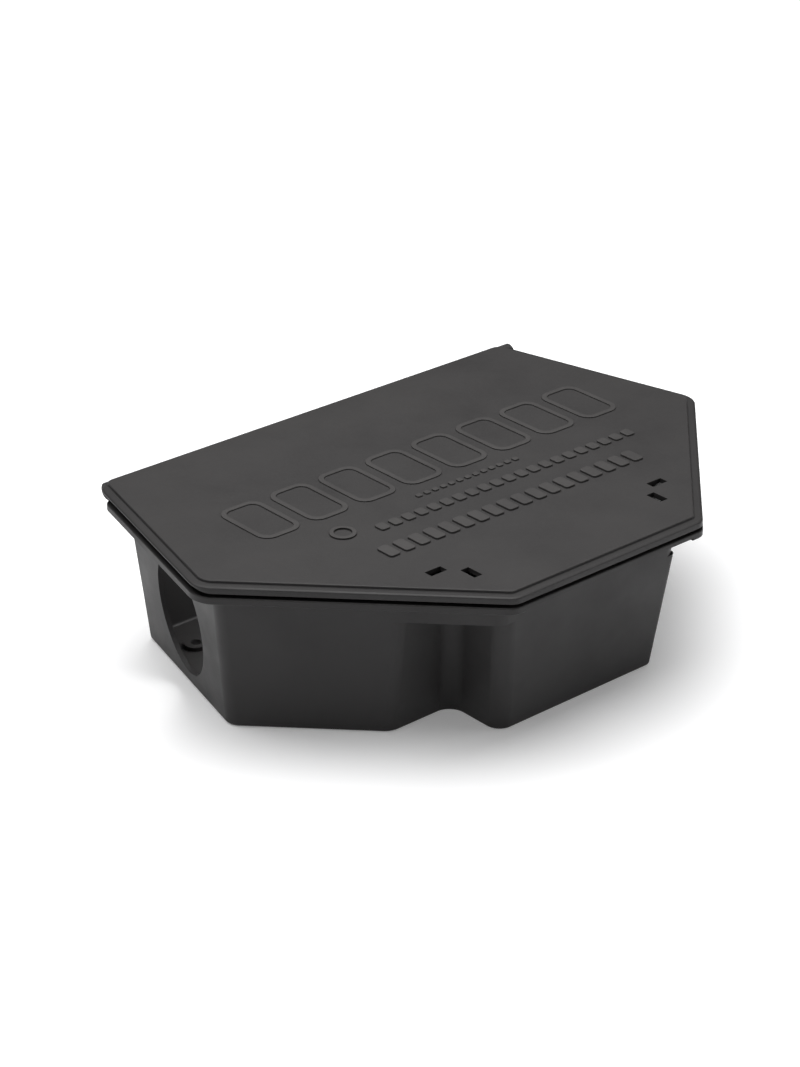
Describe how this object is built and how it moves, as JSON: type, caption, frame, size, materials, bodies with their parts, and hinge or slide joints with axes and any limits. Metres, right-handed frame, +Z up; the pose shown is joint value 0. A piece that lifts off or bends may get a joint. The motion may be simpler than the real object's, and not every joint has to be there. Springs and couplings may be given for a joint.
{
  "type": "rodent bait station",
  "caption": "Low plastic bait station: tapered base with side entry holes, hinged locking lid, sprung corner latches and a lift-out tray with rods of bait blocks.",
  "frame": {"origin": "centre of the footprint's box, on the floor", "axes": "+X along the hinge to the right seen from the front, +Y to the hinged back, +Z up; the front with the key slots is -Y"},
  "size_m": [0.3182, 0.2202, 0.087],
  "materials": {
    "base_plastic": "satin charcoal polypropylene, fine moulded grain",
    "lid_plastic": "satin charcoal polypropylene, fine moulded grain, rubbed a little on the raised relief",
    "tray_plastic": "smooth black polypropylene",
    "latch_plastic": "hard smooth black acetal",
    "steel": "bright zinc-plated steel wire and screws",
    "bait": "pressed wax and grain, dull blue-green",
    "card": "matt printed card with plain ruled rows"
  },
  "bodies": {
    "base": {"base_shell": "base_plastic", "hinge_pin": "steel", "bait_tray": "tray_plastic", "bait_rod_1": "steel", "bait_rod_2": "steel", "bait_rod_3": "steel", "bait_rod_4": "steel", "bait_block_1_lower": "bait", "bait_block_1_upper": "bait", "bait_block_2_lower": "bait", "bait_block_2_upper": "bait", "bait_block_3_lower": "bait", "bait_block_3_upper": "bait", "bait_block_4_lower": "bait", "bait_block_4_upper": "bait", "latch_spring_left": "steel", "latch_spring_right": "steel", "latch_cap_left": "latch_plastic", "latch_cap_right": "latch_plastic", "cap_screw_left_1": "steel", "cap_screw_left_2": "steel", "cap_screw_right_1": "steel", "cap_screw_right_2": "steel"},
    "lid": {"lid_shell": "lid_plastic", "service_card": "card"},
    "latch_left": {"latch_bolt_left": "latch_plastic"},
    "latch_right": {"latch_bolt_right": "latch_plastic"}
  },
  "joints": [
    {"name": "lid_hinge", "type": "hinge", "parent": "base", "child": "lid", "pos_m": [0, 0.1057, 0.0802], "axis": [-1, 0, 0], "range_deg": [0, 105]},
    {"name": "latch_left_slide", "type": "slide", "parent": "base", "child": "latch_left", "axis": [0.7116, 0.7026, 0], "range_m": [0, 0.004], "stiffness_N_per_m": 400, "springref_m": -0.004, "deforming": ["latch_spring_left"]},
    {"name": "latch_right_slide", "type": "slide", "parent": "base", "child": "latch_right", "axis": [-0.7116, 0.7026, 0], "range_m": [0, 0.004], "stiffness_N_per_m": 400, "springref_m": -0.004, "deforming": ["latch_spring_right"]}
  ]
}
